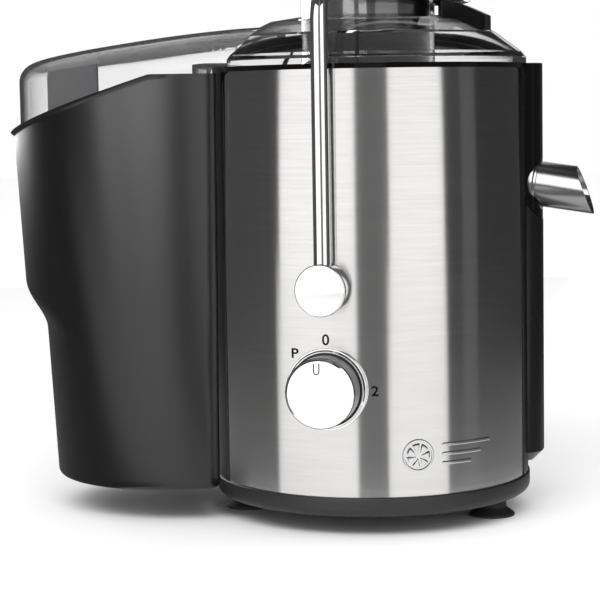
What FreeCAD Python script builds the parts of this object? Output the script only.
"""Centrifugal juicer: a counter-top machine with a steel-faced motor body, a filter basket that
spins inside a collector bowl, a clear lid with a feed chute and pusher, a steel arm that locks the
lid, a pulp container on the left and a steel juice spout on the right.

Frame: millimetres, +Z up, the front (dial side) faces -Y, +X is the user's right.
Origin: the point of the table under the motor's axis.  Plan angles run from the front, positive
towards +X.
"""
import FreeCAD
import Part
import math
import os

V = FreeCAD.Vector

# ---------------------------------------------------------------- driving dimensions (mm, degrees)
# body
BASE_R = 100.0
BASE_Z0 = 12.3
BASE_Z1 = 24.4
BASE_ROUND = 5.0
SHELL_R = 98.6
SHELL_T = 0.8
SHELL_TOP = 278.0
SHELL_CORNER = 13.0
STEEL_LEFT = -53.75
STEEL_RIGHT = 83.9
TRIM_ANGLE = 3.0
HOUSING_R = 99.0
HOUSING_T = 3.0
DECK_Z = 183.0
DECK_SCREW_R = 2.0
# column that carries the spout
COLUMN_X = 107.0
COLUMN_Y = 20.0
COLUMN_HALF = 18.0
COLUMN_ROUND = 15.0
COLUMN_Z0 = 30.0
NOTCH_HALF = 17.2
NOTCH_LOW = 199.5
# feet
FOOT_X = 79.0
FOOT_Y_FRONT = -16.0
FOOT_X_BACK = 50.0
FOOT_Y_BACK = 64.0
CUP_R = 14.25
STEM_R = 9.0
# controls on the front
AXIS_X = -6.2
ARM_Z = 149.15
DIAL_Z = 89.3
HUB_R = 15.3
HUB_FACE_Y = -114.4
PIN_R = 4.0
RUN = 0.05
KNOB_R = 19.7
KNOB_FACE_Y = -119.4
KNOB_BACK_Y = -102.0
BEZEL_R = 24.6
# locking arm
ROD_R = 5.25
ARM_Y = 106.3
ARM_TOP = 325.0
BOW_X = 58.0
BOW_Y = 37.0
# motor
SHAFT_R = 5.0
STATOR_R = 44.0
BORE_R = 23.8
ARMATURE_R = 23.0
# collector bowl, basket and lid
BOWL_R = 93.0
BOWL_T = 2.5
BOWL_FLOOR = 192.0
RIM_TOP = 281.0
BASKET_LOW_R = 56.0
BASKET_TOP_R = 79.0
BASKET_Z0 = 218.0
BASKET_Z1 = 277.0
DOME = [(99.0, 281.0), (99.0, 285.0), (96.5, 288.0), (80.0, 300.5), (62.0, 309.0), (42.0, 312.0)]
CHUTE_R = 42.0
CHUTE_BORE = 39.5
CHUTE_LOW = 230.0
CHUTE_TOP = 386.0
PUSHER_R = 38.8
PUSHER_LOW = 233.0
PUSHER_TOP = 416.0
# spout
SPOUT_R = 14.2
SPOUT_BORE = 12.9
SPOUT_Z = 203.1
SPOUT_X = 122.0
SPOUT_TILT = 8.2
# pulp container: (height, left centre, right centre, radius) of its plan at four levels
CAN_Z0 = 20.6
CAN_TOP = 277.0
CAN_T = 2.0
CAN_LEVELS = [(20.6, -127.5, -127.0, 81.5), (115.0, -129.1, -128.6, 84.9),
              (144.0, -142.0, -129.1, 86.0), (290.0, -144.6, -131.7, 91.2)]
CAN_NEST_R = 104.0
CAN_CORNER = 10.0
RIM_FLARE = 2.1
RIM_LEFT_X = -235.0
RIM_LEFT_Z = 239.6
RIM_SLOPE = 0.314
HOOK_X = -105.0
HOOK_Z = 268.0
HOOK_R = 2.0
POCKET_X = -110.0
POCKET_HALF = 27.0
# hood over the container
HOOD_LEFT = -142.5
HOOD_RIGHT = -130.0
HOOD_R = 86.3
HOOD_T = 2.2
HOOD_ROOF_Z = 283.0
HOOD_ROOF_SLOPE = 0.13


# ---------------------------------------------------------------- small helpers
def tube(r_out, r_in, z0, z1, x=0.0, y=0.0):
    """Upright round bar, or a ring when r_in is above zero."""
    body = Part.makeCylinder(r_out, z1 - z0, V(x, y, z0))
    if r_in > 0:
        body = body.cut(Part.makeCylinder(r_in, z1 - z0 + 2, V(x, y, z0 - 1)))
    return body


def tube_y(r_out, r_in, x, z, y0, y1):
    """Round bar or ring along +Y, from y0 to y1."""
    body = Part.makeCylinder(r_out, y1 - y0, V(x, y0, z), V(0, 1, 0))
    if r_in > 0:
        body = body.cut(Part.makeCylinder(r_in, y1 - y0 + 2, V(x, y0 - 1, z), V(0, 1, 0)))
    return body


def box(x0, x1, y0, y1, z0, z1):
    return Part.makeBox(x1 - x0, y1 - y0, z1 - z0, V(x0, y0, z0))


def revolve(profile):
    """Closed (radius, height) outline turned once about the Z axis."""
    wire = Part.makePolygon([V(r, 0, z) for r, z in profile + profile[:1]])
    return Part.Face(wire).revolve(V(0, 0, 0), V(0, 0, 1), 360)


def prism_y(profile, y0, y1):
    """Closed (x, z) outline drawn out along Y."""
    wire = Part.makePolygon([V(x, y0, z) for x, z in profile + profile[:1]])
    return Part.Face(wire).extrude(V(0, y1 - y0, 0))


def plan_point(angle, radius):
    """Plan position at an angle from the front, positive to the right."""
    a = math.radians(angle)
    return radius * math.sin(a), -radius * math.cos(a)


def wedge(a0, a1, z0, z1, reach=200.0):
    """Sector of a pie between two plan angles, to cut rings into arcs."""
    steps = max(2, int(math.ceil((a1 - a0) / 45.0)) + 1)
    points = [V(0, 0, z0)]
    for k in range(steps):
        x, y = plan_point(a0 + (a1 - a0) * k / (steps - 1), reach)
        points.append(V(x, y, z0))
    points.append(points[0])
    return Part.Face(Part.makePolygon(points)).extrude(V(0, 0, z1 - z0))


def around(shape, angle):
    """Copy turned about the motor's axis."""
    copy = shape.copy()
    copy.rotate(V(0, 0, 0), V(0, 0, 1), angle)
    return copy


def group(solids):
    """Several separate solids in one node."""
    return Part.makeCompound(solids)


def tidy(shape):
    return shape.removeSplitter()


def screw(x, y, z, r, length, up=True):
    """Pan-head screw: the head's underside sits at z and the shank runs away from the head."""
    sign = -1.0 if up else 1.0
    head = Part.makeCylinder(2 * r, 1.4 * r, V(x, y, z), V(0, 0, -sign))
    shank = Part.makeCylinder(r, length, V(x, y, z), V(0, 0, sign))
    slot = Part.makeBox(3.2 * r, 0.5 * r, 0.7 * r, V(x - 1.6 * r, y - 0.25 * r, z + 0.7 * r))
    if not up:
        slot.translate(V(0, 0, -2.1 * r))
    return head.cut(slot).fuse(shank)


# ---------------------------------------------------------------- base and feet
def foot_places():
    return [(-FOOT_X, FOOT_Y_FRONT), (FOOT_X, FOOT_Y_FRONT),
            (-FOOT_X_BACK, FOOT_Y_BACK), (FOOT_X_BACK, FOOT_Y_BACK)]


def base_ring():
    outer = Part.makeCylinder(BASE_R, BASE_Z1 - BASE_Z0, V(0, 0, BASE_Z0))
    low = [e for e in outer.Edges if e.BoundBox.ZMax < BASE_Z0 + 0.1]
    outer = outer.makeFillet(BASE_ROUND, low)
    spigot = tube(SHELL_R - SHELL_T - 0.4, 92.0, BASE_Z1, BASE_Z1 + 5)
    rear = wedge(STEEL_RIGHT, STEEL_LEFT + 360, BASE_Z1, BASE_Z1 + 6)
    ring = outer.cut(Part.makeCylinder(90.0, 40, V(0, 0, 0)))
    return tidy(ring.fuse(spigot.cut(rear)))


def bottom_plate():
    plate = tube(90.0, 0, 13.5, 16.0)
    for x, y in foot_places():
        plate = plate.cut(tube(6.0, 0, 10, 20, x, y))
    for row in range(-3, 4):
        slot = box(-24, 24, row * 7 - 1.6, row * 7 + 1.6, 10, 20)
        plate = plate.cut(slot)
    return plate


def suction_foot(x, y):
    """Rubber cup with a hollow underside, a stem, and a neck held in the bottom plate."""
    r = [(2.1, 2.6), (7.0, 2.4), (12.3, 0.0), (CUP_R, 0.0), (CUP_R, 1.4), (STEM_R + 0.6, 4.8),
         (STEM_R, 6.0), (STEM_R, 13.5), (6.0, 13.5), (6.0, 16.0), (2.1, 16.0)]
    foot = revolve(r)
    foot.translate(V(x, y, 0))
    return foot


def suction_feet():
    return group([suction_foot(x, y) for x, y in foot_places()])


def foot_screws():
    return group([screw(x, y, 16.0, 2.1, 11.0) for x, y in foot_places()])


# ---------------------------------------------------------------- body shells
def front_holes():
    """Clearances through the front wall for the arm's bushing and the dial's bushing."""
    return [tube_y(7.5, 0, AXIS_X, ARM_Z, -105, -80), tube_y(5.5, 0, AXIS_X, DIAL_Z, -105, -80)]


def corner_tool(edge_angle, sign):
    """Piece that rounds one upper corner of the steel sheet."""
    turn = math.degrees(SHELL_CORNER / SHELL_R) * sign
    mid = edge_angle + turn
    x, y = plan_point(mid, 1.0)
    core = Part.makeCylinder(SHELL_CORNER, 130, V(0, 0, SHELL_TOP - SHELL_CORNER), V(x, y, 0))
    low = min(edge_angle - sign * 2, mid)
    high = max(edge_angle - sign * 2, mid)
    return wedge(low, high, SHELL_TOP - SHELL_CORNER, SHELL_TOP + 5).cut(core)


def steel_shell():
    sheet = tube(SHELL_R, SHELL_R - SHELL_T, BASE_Z1, SHELL_TOP)
    sheet = sheet.common(wedge(STEEL_LEFT, STEEL_RIGHT, BASE_Z1 - 1, SHELL_TOP + 1))
    for hole in front_holes():
        sheet = sheet.cut(hole)
    sheet = sheet.cut(corner_tool(STEEL_LEFT, 1.0))
    return sheet.cut(corner_tool(STEEL_RIGHT, -1.0))


def trim(a0, a1):
    strip = tube(HOUSING_R + 0.3, HOUSING_R - 3.0, BASE_Z1, SHELL_TOP)
    return strip.common(wedge(a0, a1, BASE_Z1 - 1, SHELL_TOP + 1))


def left_trim():
    return trim(STEEL_LEFT - TRIM_ANGLE, STEEL_LEFT)


def right_trim():
    return trim(STEEL_RIGHT, STEEL_RIGHT + TRIM_ANGLE)


def column(grow, z0, z1):
    """Rounded upright pilaster beside the wall, that the juice spout comes out of."""
    half = COLUMN_HALF + grow
    block = box(60, COLUMN_X + grow, COLUMN_Y - half, COLUMN_Y + half, z0, z1)
    upright = [e for e in block.Edges
               if abs(e.BoundBox.ZLength - (z1 - z0)) < 0.01 and e.BoundBox.XMax > 100]
    return block.makeFillet(COLUMN_ROUND + grow, upright)


def notch(grow, z1):
    """U-shaped way for the spout, open at the top so that the bowl lifts out."""
    half = NOTCH_HALF + grow
    low = Part.makeCylinder(half, 60, V(60, COLUMN_Y, NOTCH_LOW), V(1, 0, 0))
    return low.fuse(box(60, 120, COLUMN_Y - half, COLUMN_Y + half, NOTCH_LOW, z1))


def rear_housing():
    wall = tube(HOUSING_R, 0, BASE_Z1, SHELL_TOP)
    pilaster = column(0, COLUMN_Z0, SHELL_TOP)
    foot = [e for e in pilaster.Edges if e.BoundBox.ZMax < COLUMN_Z0 + 0.1 and e.BoundBox.XMax > 100]
    pilaster = pilaster.makeChamfer(6.0, foot)
    solid = wall.fuse(pilaster)
    hollow = tube(HOUSING_R - HOUSING_T, 0, BASE_Z1 - 1, SHELL_TOP + 1)
    hollow = hollow.fuse(column(-HOUSING_T, COLUMN_Z0 + 8, SHELL_TOP + 1))
    shell = solid.cut(hollow)
    shell = shell.cut(wedge(STEEL_LEFT - TRIM_ANGLE, STEEL_RIGHT + TRIM_ANGLE, 0, 300))
    shell = shell.cut(notch(0.4, 300))
    shell = shell.cut(tube_y(7.5, 0, AXIS_X, ARM_Z, 80, 110))
    return tidy(shell.cut(tube_y(8.0, 0, 30, 42, 80, 110)))


def front_liner():
    """Plastic inner wall behind the steel sheet."""
    wall = tube(SHELL_R - SHELL_T, HOUSING_R - HOUSING_T, BASE_Z1 + 5, SHELL_TOP)
    wall = wall.common(wedge(STEEL_LEFT, STEEL_RIGHT, BASE_Z1, SHELL_TOP + 1))
    for hole in front_holes():
        wall = wall.cut(hole)
    return wall


def cord_gland():
    """Flanged bushing in the back wall that the mains lead passes through."""
    ring = tube_y(8.0, 3.75, 30, 42, 90, 101)
    flange = tube_y(11.0, 3.75, 30, 42, 99.5, 103)
    return tidy(ring.fuse(flange))


def deck_screw_places():
    return [plan_point(30 + 60 * k, 88.0) for k in range(6)]


def top_deck():
    """Floor between the motor and the bowl, with a raised collar that keeps juice off the shaft."""
    deck = revolve([(7.0, DECK_Z), (95.8, DECK_Z), (95.8, DECK_Z + 12), (93.6, DECK_Z + 12),
                    (93.6, DECK_Z + 3), (16.0, DECK_Z + 3), (16.0, DECK_Z + 8.5), (13.5, DECK_Z + 8.5),
                    (13.5, DECK_Z + 3), (7.0, DECK_Z + 3)])
    apron_room = notch(0.4, 300).cut(Part.makeCylinder(BOWL_R - 0.8, 400))
    deck = deck.cut(apron_room)
    for x, y in deck_screw_places():
        deck = deck.cut(tube(DECK_SCREW_R, 0, DECK_Z - 1, DECK_Z + 4, x, y))
    return deck


def shaft_seal():
    return revolve([(SHAFT_R + 0.4, DECK_Z), (7.0, DECK_Z), (7.0, DECK_Z + 3), (10.5, DECK_Z + 3),
                    (10.5, DECK_Z + 5), (SHAFT_R + 0.4, DECK_Z + 5)])


# ---------------------------------------------------------------- motor
def motor_shaft():
    return tube(SHAFT_R, 0, 44.0, 206.0)


def bearing(z0):
    """Ball bearing drawn as its two races with the balls between them."""
    inner = tube(7.6, SHAFT_R + RUN, z0, z0 + 8)
    outer = tube(12.0, 10.4, z0, z0 + 8)
    balls = [Part.makeSphere(1.9, V(*plan_point(45 * k, 9.0), z0 + 4)) for k in range(8)]
    cage = tube(10.4, 7.6, z0 + 3.2, z0 + 4.8)
    ring = inner.fuse([outer, cage] + balls)
    return tidy(ring)


def shaft_bearings():
    return group([bearing(52), bearing(166)])


def bracket(z_plate, z_bearing):
    """Motor end bracket: plate, bearing cup and tie-rod holes."""
    plate = tube(54.0, 12.0, z_plate, z_plate + 4)
    cup = tube(15.0, 12.0, z_bearing, z_bearing + 8)
    for k in range(4):
        x, y = plan_point(45 + 90 * k, 48.5)
        plate = plate.cut(tube(3.0, 0, z_plate - 1, z_plate + 6, x, y))
        window = plate_window(k, z_plate)
        plate = plate.cut(window)
    return tidy(plate.fuse(cup))


def plate_window(k, z):
    ring = tube(40.0, 20.0, z - 1, z + 6)
    return ring.common(wedge(90 * k - 28, 90 * k + 28, z - 1, z + 6))


def tie_rods():
    return group([tube(3.0, 0, 48, 172, *plan_point(45 + 90 * k, 48.5)) for k in range(4)])


def motor_mounts():
    """Rubber dampers between the upper bracket and the deck."""
    mounts = []
    for k in range(4):
        x, y = plan_point(90 * k, 47.0)
        mounts.append(revolve_at([(0, 171), (7, 171), (5, 177), (7, DECK_Z), (0, DECK_Z)], x, y))
    return group(mounts)


def revolve_at(profile, x, y):
    solid = revolve(profile)
    solid.translate(V(x, y, 0))
    return solid


def stator_core():
    core = tube(STATOR_R, BORE_R, 92, 138)
    for k in (0, 1):
        x = plan_point(90 + 180 * k, 31.0)[0]
        core = core.cut(box(x - 6, x + 6, -17, 17, 90, 140))
    return core


def stator_windings():
    """Field coils: two D-shaped loops that stand out of the core's ends."""
    coils = []
    for k in (0, 1):
        loop = box(25.4, 36.6, -16.6, 16.6, 82, 148).cut(box(25, 37, -9, 9, 92, 138))
        upright = [e for e in loop.Edges if e.BoundBox.ZLength > 60]
        loop = loop.makeFillet(3.0, upright)
        coils.append(around(loop, 180 * k))
    return group(coils)


def armature_core():
    core = tube(ARMATURE_R, SHAFT_R, 90, 140)
    for k in range(12):
        x, y = plan_point(30 * k, ARMATURE_R)
        core = core.cut(tube(1.8, 0, 88, 142, x, y))
    return core


def armature_windings():
    low = revolve([(7, 82), (15, 82), (20.5, 87), (20.5, 90), (7, 90)])
    high = revolve([(7, 140), (20.5, 140), (20.5, 143), (15, 148), (7, 148)])
    return group([low, high])


def commutator():
    drum = tube(13.0, SHAFT_R, 64, 80)
    for k in range(12):
        cut = box(12.0, 14.0, -0.4, 0.4, 63, 81)
        drum = drum.cut(around(cut, 30 * k))
    return drum


def brush_holders():
    boxes = []
    for k in (0, 1):
        sleeve = box(15.5, 40, -6, 6, 67, 77).cut(box(15, 41, -4, 4, 69, 75))
        post = box(28, 38, -6, 6, 54, 67)
        boxes.append(around(sleeve.fuse(post), 180 * k))
    return group(boxes)


def carbon_brushes():
    return group([around(box(13.4, 33, -4, 4, 69, 75), 180 * k) for k in (0, 1)])


def cooling_fan():
    hub = tube(10.0, SHAFT_R, 151, 160)
    disc = tube(38.0, 9.0, 151, 152.5)
    fan = hub.fuse(disc)
    for k in range(9):
        blade = box(11, 37, -0.8, 0.8, 152, 160)
        blade.rotate(V(24, 0, 0), V(0, 0, 1), 22)
        fan = fan.fuse(around(blade, 40 * k))
    return tidy(fan)


def drive_coupling():
    """Three-lobed dog on the shaft's top that the basket drops on to."""
    hub = tube(9.0, SHAFT_R, 190, 206)
    cap = tube(9.0, 0, 206, 209)
    lobes = [around(tube(3.2, 0, 196, 209, 9.0, 0), 120 * k) for k in range(3)]
    return tidy(hub.fuse([cap] + lobes))


# ---------------------------------------------------------------- controls
def knob_bezel():
    ring = tube_y(BEZEL_R, 0, AXIS_X, DIAL_Z, -101.0, -85)
    step = tube_y(BEZEL_R - 1.8, 0, AXIS_X, DIAL_Z, -102.6, -100)
    ring = ring.fuse(step).cut(Part.makeCylinder(SHELL_R, 300, V(0, 0, 0)))
    return tidy(ring.cut(tube_y(KNOB_R + 1.7, 0, AXIS_X, DIAL_Z, -104, -80)))


def speed_knob():
    """Hollow cap with a finely ribbed side and a boss that fits the switch's shaft."""
    side = tube_y(KNOB_R + 1.2, 0, AXIS_X, DIAL_Z, KNOB_BACK_Y, KNOB_BACK_Y + 3.0)
    cap = tube_y(KNOB_R + 1.2, 0, AXIS_X, DIAL_Z, -118.2, KNOB_BACK_Y)
    face = tube_y(KNOB_R, 0, AXIS_X, DIAL_Z, KNOB_FACE_Y, -118.2)
    knob = cap.fuse([face, side])
    knob = knob.cut(tube_y(17.6, 0, AXIS_X, DIAL_Z, -115.5, KNOB_BACK_Y + 4))
    boss = tube_y(6.2, 0, AXIS_X, DIAL_Z, -116, -102.8)
    knob = knob.fuse(boss).cut(tube_y(3.0, 0, AXIS_X, DIAL_Z, -113, -98))
    return tidy(knob.cut(pointer_shape(-119.5, -118.5)))


def pointer_shape(y0, y1):
    """Short U-ended bar near the knob's edge."""
    cx = AXIS_X - 1.6
    low = tube_y(1.9, 0, cx, DIAL_Z + 13.0, y0, y1)
    bar = box(cx - 1.9, cx + 1.9, y0, y1, DIAL_Z + 13.0, DIAL_Z + 18.0)
    return low.fuse(bar).removeSplitter()


def knob_pointer():
    return pointer_shape(-119.2, -118.5)


def switch_shaft():
    return tube_y(3.0, 0, AXIS_X, DIAL_Z, -113, -76)


def rotary_switch():
    neck = tube_y(5.5, 3.0 + RUN, AXIS_X, DIAL_Z, -99.5, -93)
    case = box(AXIS_X - 15, AXIS_X + 15, -93, -73, DIAL_Z - 15, DIAL_Z + 15)
    case = case.cut(tube_y(3.0 + RUN, 0, AXIS_X, DIAL_Z, -95, -75.5))
    tabs = [box(AXIS_X - 12 + 8 * k, AXIS_X - 9 + 8 * k, -73, -67, DIAL_Z - 4, DIAL_Z + 4)
            for k in range(4)]
    return tidy(case.fuse([neck] + tabs))


def control_board():
    """Speed-control board on the lower bracket's side, with its heat sink and parts."""
    plate = box(-30, 30, -66, -64.4, 34, 70)
    sink = box(-26, -6, -64.4, -58, 40, 66)
    chip = box(2, 12, -64.4, -59, 44, 54)
    can = tube_y(4.5, 0, 20, 52, -64.4, -54)
    return tidy(plate.fuse([sink, chip, can]))


def interlock_switch():
    """Microswitch above the arm's cam: the machine runs only while the arm stands upright."""
    case = box(AXIS_X - 16, AXIS_X + 4, -84, -77, ARM_Z + 14.5, ARM_Z + 25)
    lever = box(AXIS_X - 14, AXIS_X + 3, -82.5, -78.5, ARM_Z + 12.4, ARM_Z + 12.9)
    post = box(AXIS_X - 15, AXIS_X - 13, -82.5, -78.5, ARM_Z + 12.4, ARM_Z + 14.5)
    button = box(AXIS_X - 1, AXIS_X + 1, -82, -79, ARM_Z + 12.9, ARM_Z + 14.5)
    return tidy(case.fuse([lever, post, button]))


def switch_bracket():
    """Folded plate that holds the microswitch to the front wall's liner."""
    wall = box(AXIS_X - 16, AXIS_X + 4, -95.4, -93.9, ARM_Z + 14, ARM_Z + 29)
    shelf = box(AXIS_X - 16, AXIS_X + 4, -95.4, -77, ARM_Z + 25, ARM_Z + 26.5)
    front = wall.common(Part.makeCylinder(HOUSING_R - HOUSING_T, 300, V(0, 0, 0)))
    return tidy(front.fuse(shelf.common(Part.makeCylinder(HOUSING_R - HOUSING_T, 300, V(0, 0, 0)))))


# ---------------------------------------------------------------- locking arm
def fillet_path(corners, radii):
    """Straight runs joined by tangent arcs, as one wire."""
    edges = []
    start = corners[0]
    for k in range(1, len(corners) - 1):
        p, q, s = corners[k - 1], corners[k], corners[k + 1]
        u = (p - q).normalize()
        w = (s - q).normalize()
        half = u.getAngle(w) / 2
        back = radii[k - 1] / math.tan(half)
        a = q + u * back
        b = q + w * back
        bis = (u + w).normalize()
        centre = q + bis * (radii[k - 1] / math.sin(half))
        mid = centre - bis * radii[k - 1]
        edges.append(Part.LineSegment(start, a).toShape())
        edges.append(Part.Arc(a, mid, b).toShape())
        start = b
    edges.append(Part.LineSegment(start, corners[-1]).toShape())
    return Part.Wire(edges)


def arm_rod():
    """Round steel bar: up the front, around the right of the chute, down the back."""
    foot = ARM_Z + 5.0
    corners = [V(AXIS_X, -ARM_Y, foot), V(AXIS_X, -ARM_Y, ARM_TOP), V(AXIS_X, -66, ARM_TOP),
               V(BOW_X, -BOW_Y, ARM_TOP), V(BOW_X, BOW_Y, ARM_TOP), V(AXIS_X, 66, ARM_TOP),
               V(AXIS_X, ARM_Y, ARM_TOP), V(AXIS_X, ARM_Y, foot)]
    path = fillet_path(corners, [20, 22, 26, 26, 22, 20])
    section = Part.Wire([Part.Circle(corners[0], V(0, 0, 1), ROD_R).toShape()])
    return path.makePipeShell([section], True, False)


def arm_hub(sign):
    """Round boss at the rod's foot, bored for its pin and for the rod."""
    y0 = min(sign * 99.4, sign * -HUB_FACE_Y)
    hub = Part.makeCylinder(HUB_R, abs(HUB_FACE_Y) - 99.4, V(AXIS_X, y0, ARM_Z), V(0, 1, 0))
    rims = [e for e in hub.Edges if abs(e.Length - 2 * math.pi * HUB_R) < 0.5]
    hub = hub.makeFillet(1.3, rims)
    hub = hub.cut(tube_y(PIN_R, 0, AXIS_X, ARM_Z, *sorted((sign * 95, sign * 111))))
    return hub.cut(tube(ROD_R, 0, ARM_Z + 5.0, ARM_Z + 30, AXIS_X, sign * ARM_Y))


def pivot_pin(sign):
    pin = tube_y(PIN_R, 0, AXIS_X, ARM_Z, *sorted((sign * 78, sign * 111)))
    ring = tube_y(6.2, PIN_R - 0.8, AXIS_X, ARM_Z, *sorted((sign * 86, sign * 87.2)))
    return tidy(pin.fuse(ring))


def pivot_bushings():
    """Flanged plastic bushings in the front and back walls that the arm's pins turn in."""
    rings = []
    for sign in (-1, 1):
        sleeve = tube_y(7.5, PIN_R + RUN, AXIS_X, ARM_Z, *sorted((sign * 88, sign * 98.9)))
        lip = tube_y(10.5, PIN_R + RUN, AXIS_X, ARM_Z, *sorted((sign * 88, sign * 91)))
        rings.append(tidy(sleeve.fuse(lip)))
    return group(rings)


def arm_cam():
    """Lobed cam on the front pin that presses the microswitch while the arm is upright."""
    disc = tube_y(8.0, PIN_R, AXIS_X, ARM_Z, -84.0, -78.5)
    lobe = box(AXIS_X - 3.0, AXIS_X + 3.0, -84.0, -78.5, ARM_Z + 5.5, ARM_Z + 11.8)
    return tidy(disc.fuse(lobe))


# ---------------------------------------------------------------- collector bowl and spout
def spout_axis():
    tilt = math.radians(SPOUT_TILT)
    return V(math.cos(tilt), 0, -math.sin(tilt))


def along_spout(radius, t0, t1):
    """Round bar along the spout's axis, from t0 to t1 past the reference point."""
    d = spout_axis()
    base = V(SPOUT_X, COLUMN_Y, SPOUT_Z) + d * t0
    return Part.makeCylinder(radius, t1 - t0, base, d)


def juice_spout():
    """Thin steel tube, cut off at a slant so that it drips from its lower edge."""
    pipe = along_spout(SPOUT_R, -36, 24).cut(along_spout(SPOUT_BORE, -37, 25))
    tip = prism_y([(128.6, 240), (128.4, 216.9), (138.9, 187.2), (145, 170), (170, 170), (170, 240)],
                  COLUMN_Y - 30, COLUMN_Y + 30)
    return pipe.cut(tip)


def spout_collar():
    """Stepped ring where the spout leaves the bowl."""
    return along_spout(SPOUT_R + 1.6, -20.5, -14.0).cut(along_spout(SPOUT_R, -22, -12))


def collector_bowl():
    """Bowl that catches the juice, its raised centre tube, its rim and its spout apron."""
    wall = [(17.5, BOWL_FLOOR), (BOWL_R, BOWL_FLOOR), (BOWL_R, 278.0), (98.6, 278.0),
            (98.6, RIM_TOP), (BOWL_R - BOWL_T, RIM_TOP), (BOWL_R - BOWL_T, BOWL_FLOOR + BOWL_T),
            (20.0, BOWL_FLOOR + BOWL_T), (20.0, 210.0), (17.5, 210.0)]
    bowl = revolve(wall)
    apron = column(-0.2, NOTCH_LOW - NOTCH_HALF + 0.2, RIM_TOP).common(notch(0.0, RIM_TOP))
    apron = apron.cut(Part.makeCylinder(BOWL_R - 0.5, 300, V(0, 0, 0)))
    bowl = bowl.fuse(apron)
    bowl = bowl.cut(along_spout(SPOUT_R, -60, 30))
    collar_room = along_spout(SPOUT_R + 1.6, -20.5, 30)
    return tidy(bowl.cut(collar_room))


def bowl_gasket():
    """Rubber ring under the bowl's rim, open where the spout's apron stands."""
    return tube(95.9, BOWL_R + 0.05, 276.6, 278.0).cut(notch(0.2, 300))


# ---------------------------------------------------------------- filter basket
def basket_hub():
    socket = tube(15.0, 12.6, 197.0, 211.0)
    top = tube(15.0, 0, 209.0, BASKET_Z0)
    return tidy(socket.fuse(top))


def grater_disc():
    """Toothed steel disc that shreds the fruit."""
    disc = tube(54.0, 0, BASKET_Z0, BASKET_Z0 + 1.2)
    teeth = []
    for ring in range(3):
        radius = 20.0 + 13.0 * ring
        count = 10 + 6 * ring
        for k in range(count):
            tooth = Part.makeCone(1.3, 0.2, 1.8, V(radius, 0, BASKET_Z0 + 1.0))
            teeth.append(around(tooth, 360.0 * k / count))
    return tidy(disc.fuse(teeth))


def filter_mesh():
    """Perforated steel cone (its holes are far smaller than a millimetre)."""
    return revolve([(54.0, BASKET_Z0 + 1.2), (54.8, BASKET_Z0 + 1.2), (BASKET_TOP_R - 3.0, 273.0),
                    (BASKET_TOP_R - 3.8, 273.0)])


def basket_frame():
    """Plastic frame moulded round the mesh: foot ring, six ribs and top ring."""
    foot = revolve([(15.0, BASKET_Z0 - 4), (BASKET_LOW_R, BASKET_Z0 - 4), (BASKET_LOW_R + 1, BASKET_Z0 + 4),
                    (56.2, BASKET_Z0 + 4), (54.0, BASKET_Z0), (15.0, BASKET_Z0)])
    top = revolve([(BASKET_TOP_R - 3.8, 273.0), (BASKET_TOP_R - 2.4, 271.0), (BASKET_TOP_R, 271.0),
                   (BASKET_TOP_R, BASKET_Z1), (BASKET_TOP_R - 3.8, BASKET_Z1)])
    frame = foot.fuse(top)
    rib_line = [(55.6, BASKET_Z0 + 1), (58.4, BASKET_Z0 + 1), (BASKET_TOP_R - 0.3, 272.0),
                (BASKET_TOP_R - 2.7, 272.0)]
    for k in range(6):
        frame = frame.fuse(around(prism_y(rib_line, -1.5, 1.5), 60 * k))
    mesh_room = revolve([(50.0, BASKET_Z0 + 1.2), (54.8, BASKET_Z0 + 1.2), (BASKET_TOP_R - 3.0, 273.0),
                         (50.0, 273.0)])
    disc_room = tube(54.0, 0, BASKET_Z0, BASKET_Z0 + 1.3)
    return tidy(frame.cut(mesh_room).cut(disc_room))


# ---------------------------------------------------------------- lid, chute and pusher
def below_roof(drop):
    """Everything under the hood's slanting roof, lowered by drop."""
    x0, x1 = -260.0, -30.0
    z0 = HOOD_ROOF_Z - drop + HOOD_ROOF_SLOPE * (x0 + 237.0)
    z1 = HOOD_ROOF_Z - drop + HOOD_ROOF_SLOPE * (x1 + 237.0)
    return prism_y([(x0, 150), (x1, 150), (x1, z1), (x0, z0)], -110, 110)


def above_skirt(offset):
    """Everything above a plane parallel to the container's rim."""
    z0 = RIM_LEFT_Z + offset + RIM_SLOPE * (-260.0 - RIM_LEFT_X)
    turn_x = RIM_LEFT_X + (CAN_TOP - RIM_LEFT_Z) / RIM_SLOPE
    return prism_y([(-260, z0), (turn_x, CAN_TOP + offset), (-30, CAN_TOP + offset), (-30, 340),
                    (-260, 340)], -120, 120)


def hood_block(radius, drop, rounding, nest, floor_z):
    """Hood's solid: two round ends, a slanting roof with a rounded edge, and below floor_z a hollow
    side that clears the body."""
    blob = Part.makeCylinder(radius, 120, V(HOOD_LEFT, 0, 210))
    blob = blob.fuse([Part.makeCylinder(radius, 120, V(HOOD_RIGHT, 0, 210)),
                      box(HOOD_LEFT, HOOD_RIGHT, -radius, radius, 210, 330)])
    blob = tidy(blob).common(below_roof(drop))
    blob = blob.makeFillet(rounding, [e for e in blob.Edges if e.BoundBox.ZMin > 240])
    return blob.cut(Part.makeCylinder(nest, floor_z - 180, V(0, 0, 180)))


def lid_outer():
    dome = revolve([(0, DOME[0][1])] + DOME + [(0, DOME[-1][1])])
    hood = hood_block(HOOD_R, 0, 12.0, 109.0, RIM_TOP)
    return dome.fuse(hood.common(above_skirt(-8)))


def lid_inner():
    inner = [(0, DOME[0][1] - 1), (BOWL_R - BOWL_T, DOME[0][1] - 1), (BOWL_R - BOWL_T, DOME[0][1] + 3.5),
             (78.5, 297.8), (61.3, 306.2), (42.0, 309.4), (0, 309.4)]
    hood = hood_block(HOOD_R - HOOD_T, HOOD_T, 10.0, 109.0 + HOOD_T, RIM_TOP + HOOD_T)
    return revolve(inner).fuse(hood)


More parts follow.
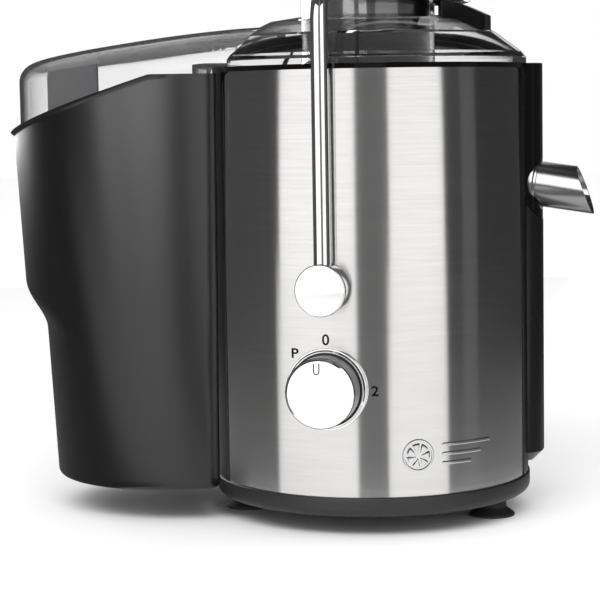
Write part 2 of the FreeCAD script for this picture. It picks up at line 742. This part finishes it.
def hanger_room():
    """Space that the container's hook and its recess wall take under the hood's edge."""
    reach = POCKET_HALF + CAN_T + 1.0
    return box(POCKET_X - CAN_T - 1.0, -95, -reach, reach, 240, HOOK_Z + HOOK_R + 6.6)


def lid():
    """Clear moulding: dome over the basket and hood over the container, joined by the pulp duct."""
    shell = lid_outer().cut(lid_inner())
    shell = shell.cut(Part.makeCylinder(CHUTE_R, 200, V(0, 0, 250)))
    rim_room = can_body(-RIM_FLARE - 1.0, CAN_Z0).cut(can_body(CAN_T + 0.5, CAN_Z0))
    shell = shell.cut(rim_room.cut(above_skirt(0.5)))
    return tidy(shell.cut(hanger_room()))


def hood_baffle():
    """Ribbed plate inside the hood that turns the pulp down."""
    plate = box(-216.0, -181.0, -1.5, 1.5, 236, 300).common(below_roof(HOOD_T))
    return plate.common(above_skirt(-4))


def feed_chute():
    """Round tube that leads the fruit down on to the grater."""
    pipe = tube(CHUTE_R, CHUTE_BORE, CHUTE_LOW, CHUTE_TOP)
    lip = tube(CHUTE_R + 2.2, CHUTE_R - 0.5, CHUTE_TOP - 5, CHUTE_TOP)
    return tidy(pipe.fuse(lip))


def arm_saddle():
    """Curved pad on the lid that the arm's bow slides up on to."""
    reach = math.hypot(BOW_X - AXIS_X, ARM_TOP - ARM_Z) - ROD_R - 0.6
    pad = box(47.0, 76.0, -17, 17, 296, 330)
    upright = [e for e in pad.Edges if e.BoundBox.ZLength > 30]
    pad = pad.makeFillet(5.0, upright)
    pad = pad.common(Part.makeCylinder(reach, 60, V(AXIS_X, -30, ARM_Z), V(0, 1, 0)))
    dome = revolve([(0, 280)] + DOME + [(0, DOME[-1][1])])
    return pad.cut(dome)


def pusher_body():
    """Hollow plunger, closed below, that presses the fruit down the chute."""
    solid = tube(PUSHER_R, 0, PUSHER_LOW, CHUTE_TOP + 0.6)
    hollow = tube(PUSHER_R - 2.4, 0, PUSHER_LOW + 3, CHUTE_TOP + 2)
    key = box(-3, 3, -PUSHER_R - 0.4, -PUSHER_R + 1, PUSHER_LOW + 6, CHUTE_TOP)
    return tidy(solid.cut(hollow).fuse(key))


def pusher_cap():
    """Cap and hand grip that stops the pusher on the chute's lip."""
    z0 = CHUTE_TOP + 0.6
    profile = [(0, z0), (46.0, z0), (46.0, z0 + 3), (44.5, z0 + 5), (30.0, z0 + 8), (26.5, z0 + 12),
               (26.0, z0 + 20), (29.0, z0 + 26), (28.0, PUSHER_TOP - 1), (25.5, PUSHER_TOP),
               (0, PUSHER_TOP)]
    return revolve(profile)


# ---------------------------------------------------------------- pulp container
def can_plan(left, right, radius, nest, corner, z):
    """Plan outline: a round end on the left, straight flanks, a hollow side that nests on the body,
    and two rounded corners between them."""
    span = abs(right)
    a = ((nest + corner) ** 2 - (radius - corner) ** 2 + span ** 2) / (2 * span)
    h = math.sqrt((nest + corner) ** 2 - a ** 2)
    axis = V(0, 0, z)
    middle = V(right, 0, z)

    def corner_points(side):
        """Where the corner's arc leaves the round flank, its middle, and where it meets the nest."""
        centre = V(-a, side * h, z)
        out = middle + (centre - middle).normalize() * radius
        nest_point = axis + (centre - axis).normalize() * nest
        between = (out - centre).normalize() + (nest_point - centre).normalize()
        return out, centre + between.normalize() * corner, nest_point

    def flank_middle(point, side):
        turn = (math.atan2(point.y, point.x - right) + side * math.pi / 2) / 2
        return V(right + radius * math.cos(turn), radius * math.sin(turn), z)

    f_out, f_mid, f_in = corner_points(-1)
    b_out, b_mid, b_in = corner_points(1)
    left_front = V(left, -radius, z)
    left_back = V(left, radius, z)
    right_front = V(right, -radius, z)
    right_back = V(right, radius, z)
    edges = [Part.Arc(left_back, V(left - radius, 0, z), left_front).toShape(),
             Part.LineSegment(left_front, right_front).toShape(),
             Part.Arc(right_front, flank_middle(f_out, -1), f_out).toShape(),
             Part.Arc(f_out, f_mid, f_in).toShape(),
             Part.Arc(f_in, V(-nest, 0, z), b_in).toShape(),
             Part.Arc(b_in, b_mid, b_out).toShape(),
             Part.Arc(b_out, flank_middle(b_out, 1), right_back).toShape(),
             Part.LineSegment(right_back, left_back).toShape()]
    return Part.Wire(edges)


def can_body(inset, z0):
    """Tapered solid of the container, shrunk by inset on every side.  Its left end steps in below
    the middle, so that the fingers can hold it."""
    wires = []
    for level, left, right, radius in CAN_LEVELS:
        z = max(level, z0)
        wires.append(can_plan(left, right, radius - inset, CAN_NEST_R + inset,
                              CAN_CORNER - inset, z))
    return Part.makeLoft(wires, True, True)


def pocket(inset):
    """Recess in the hollow side that clears the hanger."""
    return box(POCKET_X - inset, -90, -POCKET_HALF - inset, POCKET_HALF + inset, 246 - inset, 300)


def container_hook():
    """Lip that hangs on the body's rail."""
    lip = box(POCKET_X - 1, HOOK_X + 4.0, -20, 20, HOOK_Z + HOOK_R + 0.4, HOOK_Z + HOOK_R + 2.6)
    leg = box(HOOK_X + HOOK_R + 0.4, HOOK_X + 4.0, -20, 20, HOOK_Z - 3, HOOK_Z + HOOK_R + 1)
    return lip.fuse(leg)


def pulp_container():
    outer = can_body(0.0, CAN_Z0)
    bottom = [e for e in outer.Edges if e.BoundBox.ZMax < CAN_Z0 + 0.1]
    outer = outer.makeFillet(4.0, bottom)
    inner = can_body(CAN_T, CAN_Z0 + CAN_T).cut(pocket(CAN_T))
    shell = outer.cut(pocket(0)).cut(inner).cut(above_skirt(0))
    rim = can_body(-RIM_FLARE, CAN_Z0).cut(can_body(CAN_T, CAN_Z0))
    rim = rim.cut(box(-108, 0, -90, 90, 0, 300))
    rim = rim.common(above_skirt(-3.5)).cut(above_skirt(0))
    shell = shell.cut(box(-118, -90, -50, 50, HOOK_Z + HOOK_R + 2.6, 300))
    return tidy(shell.fuse([rim, container_hook()]))


def container_hanger():
    """Rail on the body's left wall that the container hangs on and tilts about."""
    rail = tube_y(HOOK_R, 0, HOOK_X, HOOK_Z, -22, 22)
    web = box(HOOK_X - 0.8, HOOK_X + 0.8, -22, 22, 258, HOOK_Z)
    shelf = box(HOOK_X - 0.8, -92, -22, 22, 256.5, 259)
    bracket_body = rail.fuse([web, shelf])
    return tidy(bracket_body.cut(Part.makeCylinder(HOUSING_R, 300, V(0, 0, 0))))


def deck_screws():
    """Screws that hold the deck down on its posts."""
    return group([screw(x, y, DECK_Z + 3, DECK_SCREW_R, 12.0) for x, y in deck_screw_places()])


def deck_bosses():
    """Posts under the deck that take its screws."""
    posts = []
    for x, y in deck_screw_places():
        post = tube(5.0, 0, 168, DECK_Z, x, y)
        posts.append(post.cut(tube(DECK_SCREW_R, 0, DECK_Z - 9.0, DECK_Z + 1, x, y)))
    return group(posts)


# ---------------------------------------------------------------- every node, and the files
NODES = {
    "base_ring": base_ring, "bottom_plate": bottom_plate, "suction_feet": suction_feet,
    "foot_screws": foot_screws, "steel_shell": steel_shell, "front_liner": front_liner,
    "left_trim": left_trim, "right_trim": right_trim, "rear_housing": rear_housing,
    "cord_gland": cord_gland, "top_deck": top_deck, "shaft_seal": shaft_seal,
    "deck_screws": deck_screws, "deck_bosses": deck_bosses, "tie_rods": tie_rods,
    "motor_mounts": motor_mounts, "stator_core": stator_core, "stator_windings": stator_windings,
    "brush_holders": brush_holders, "carbon_brushes": carbon_brushes,
    "shaft_bearings": shaft_bearings, "motor_shaft": motor_shaft, "armature_core": armature_core,
    "armature_windings": armature_windings, "commutator": commutator, "cooling_fan": cooling_fan,
    "drive_coupling": drive_coupling, "rotary_switch": rotary_switch,
    "switch_shaft": switch_shaft, "speed_knob": speed_knob, "knob_pointer": knob_pointer,
    "knob_bezel": knob_bezel, "control_board": control_board,
    "interlock_switch": interlock_switch, "switch_bracket": switch_bracket, "arm_rod": arm_rod,
    "pivot_bushings": pivot_bushings, "arm_cam": arm_cam, "collector_bowl": collector_bowl,
    "bowl_gasket": bowl_gasket, "juice_spout": juice_spout, "spout_collar": spout_collar,
    "basket_hub": basket_hub, "grater_disc": grater_disc, "filter_mesh": filter_mesh,
    "basket_frame": basket_frame, "lid": lid, "hood_baffle": hood_baffle,
    "feed_chute": feed_chute, "arm_saddle": arm_saddle, "pusher_body": pusher_body,
    "pusher_cap": pusher_cap, "pulp_container": pulp_container,
    "container_hanger": container_hanger,
}


def paired_nodes():
    """Nodes that exist twice, at two heights or at the front and the back."""
    return {
        "lower_bracket": bracket(50, 52), "upper_bracket": bracket(167, 166),
        "arm_hub_front": arm_hub(-1), "arm_hub_rear": arm_hub(1),
        "pivot_pin_front": pivot_pin(-1), "pivot_pin_rear": pivot_pin(1),
    }


os.makedirs("parts", exist_ok=True)
shapes = {name: make() for name, make in NODES.items()}
shapes.update(paired_nodes())
for name, shape in sorted(shapes.items()):
    shape.exportStep("parts/" + name + ".step")
    state = "ok" if shape.isValid() else "INVALID"
    print(name, len(shape.Solids), "solids", round(shape.Volume / 1000.0, 2), "cm3", state)
print(len(shapes), "nodes")
